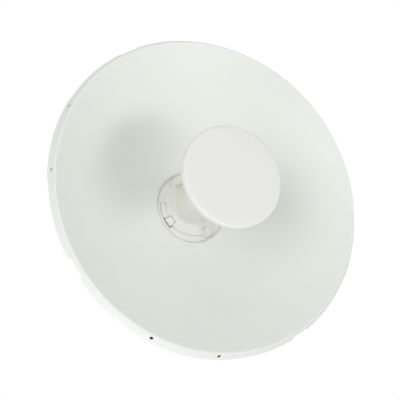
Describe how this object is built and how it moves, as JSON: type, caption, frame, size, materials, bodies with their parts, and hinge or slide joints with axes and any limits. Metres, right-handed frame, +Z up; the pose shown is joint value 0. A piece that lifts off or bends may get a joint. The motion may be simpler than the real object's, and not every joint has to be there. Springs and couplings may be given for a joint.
{
  "type": "outdoor wireless bridge",
  "caption": "Round shallow dish with a turned-back rim, a central feed tube carrying a small round reflector, a rear radio housing and a tilting V-clamp pole mount.",
  "frame": {"origin": "on the axis of the pole, level with the two clamp bolts", "axes": "+Z up along the pole, -Y the way the dish faces, +X to the right of someone who looks at the dish's open side"},
  "size_m": [0.4184, 0.2953, 0.4184],
  "materials": {
    "dish_paint": "satin pale grey-white powder coat",
    "feed_plastic": "satin warm white",
    "disc_plastic": "satin white",
    "housing_plastic": "fine-textured white",
    "bracket_paint": "satin light grey powder coat",
    "zinc_steel": "bright zinc",
    "aluminium": "satin",
    "rubber": "matt black",
    "circuit_board": "green solder mask",
    "black_plastic": "matt black",
    "clear_plastic": "clear"
  },
  "bodies": {
    "pole_mount": {"pole_bracket": "bracket_paint", "carriage_bolt_left": "zinc_steel", "carriage_bolt_right": "zinc_steel", "pivot_bolt": "zinc_steel", "pivot_nut": "zinc_steel", "bubble_level": "clear_plastic"},
    "jaw": {"clamp_jaw": "bracket_paint", "clamp_nut_left": "zinc_steel", "clamp_nut_right": "zinc_steel"},
    "head": {"tilt_yoke": "bracket_paint", "lock_bolt_left": "zinc_steel", "lock_bolt_right": "zinc_steel", "lock_nut_left": "zinc_steel", "lock_nut_right": "zinc_steel", "reflector_dish": "dish_paint", "housing_front": "housing_plastic", "rear_housing": "housing_plastic", "housing_gasket": "rubber", "port_board": "circuit_board", "power_module": "black_plastic", "feed_connector": "black_plastic", "ethernet_jack": "black_plastic", "light_guide": "clear_plastic", "dish_spacer_1": "aluminium", "dish_spacer_2": "aluminium", "dish_spacer_3": "aluminium", "dish_spacer_4": "aluminium", "dish_screw_1": "zinc_steel", "dish_screw_2": "zinc_steel", "dish_screw_3": "zinc_steel", "dish_screw_4": "zinc_steel", "housing_screw_1": "zinc_steel", "housing_screw_2": "zinc_steel", "housing_screw_3": "zinc_steel", "housing_screw_4": "zinc_steel", "yoke_screw_1": "zinc_steel", "yoke_screw_2": "zinc_steel", "yoke_screw_3": "zinc_steel", "yoke_screw_4": "zinc_steel"},
    "feed": {"feed_base": "feed_plastic", "feed_post_upper": "feed_plastic", "feed_post_lower": "feed_plastic", "feed_tube": "feed_plastic", "feed_seal": "rubber", "feed_board": "circuit_board", "shield_can": "zinc_steel", "feed_horn": "aluminium", "dielectric_cone": "clear_plastic", "subreflector_plate": "aluminium", "subreflector_housing": "disc_plastic", "subreflector_cover": "disc_plastic"},
    "left_tab": {"lock_tab_left": "feed_plastic"},
    "right_tab": {"lock_tab_right": "feed_plastic"},
    "door": {"cable_door": "housing_plastic"},
    "button": {"reset_button": "rubber"}
  },
  "joints": [
    {"name": "jaw_slide", "type": "slide", "parent": "pole_mount", "child": "jaw", "axis": [0, 1, 0], "range_m": [-0.012, 0.012]},
    {"name": "elevation_tilt", "type": "hinge", "parent": "pole_mount", "child": "head", "pos_m": [0, -0.05, 0.014], "axis": [1, 0, 0], "range_deg": [-15, 15]},
    {"name": "feed_twist", "type": "hinge", "parent": "head", "child": "feed", "pos_m": [0, -0.1015, 0], "axis": [0, 1, 0], "range_deg": [0, 30]},
    {"name": "left_tab_press", "type": "slide", "parent": "feed", "child": "left_tab", "axis": [0, 1, 0], "range_m": [0, 0.001], "stiffness_N_per_m": 2000},
    {"name": "right_tab_press", "type": "slide", "parent": "feed", "child": "right_tab", "axis": [0, 1, 0], "range_m": [0, 0.001], "stiffness_N_per_m": 2000},
    {"name": "door_slide", "type": "slide", "parent": "head", "child": "door", "axis": [0, 0, -1], "range_m": [0, 0.033]},
    {"name": "button_press", "type": "slide", "parent": "head", "child": "button", "axis": [0, -1, 0], "range_m": [0, 0.0008], "stiffness_N_per_m": 800}
  ]
}
